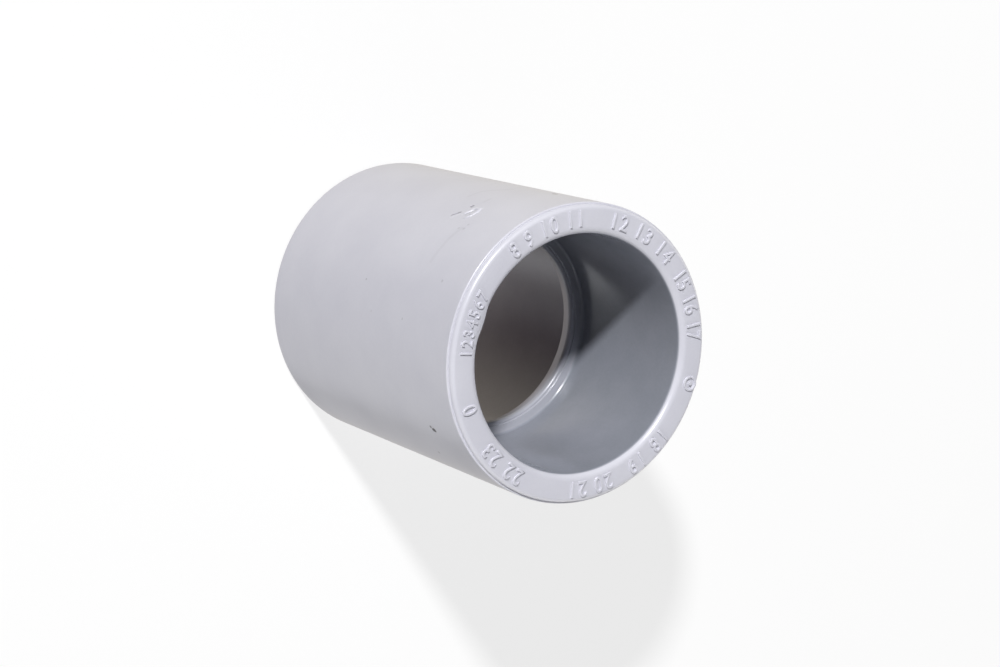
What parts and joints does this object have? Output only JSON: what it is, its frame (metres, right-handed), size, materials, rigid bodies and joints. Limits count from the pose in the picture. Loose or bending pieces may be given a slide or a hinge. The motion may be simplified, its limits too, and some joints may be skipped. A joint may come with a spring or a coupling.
{
  "type": "conduit coupling",
  "caption": "Straight plastic sleeve with a socket at each end and a stop ring inside, for joining rigid conduit end to end.",
  "frame": {"origin": "centre of the plain end face, which the coupling stands on", "axes": "+Z along the bore, from the plain end up to the end with the raised numbers; +X and +Y across the bore"},
  "size_m": [0.0274, 0.0274, 0.0345],
  "materials": {
    "pvc": "light grey rigid PVC as moulded, satin with a soft sheen"
  },
  "bodies": {
    "root": {"coupling_body": "pvc"}
  },
  "joints": []
}
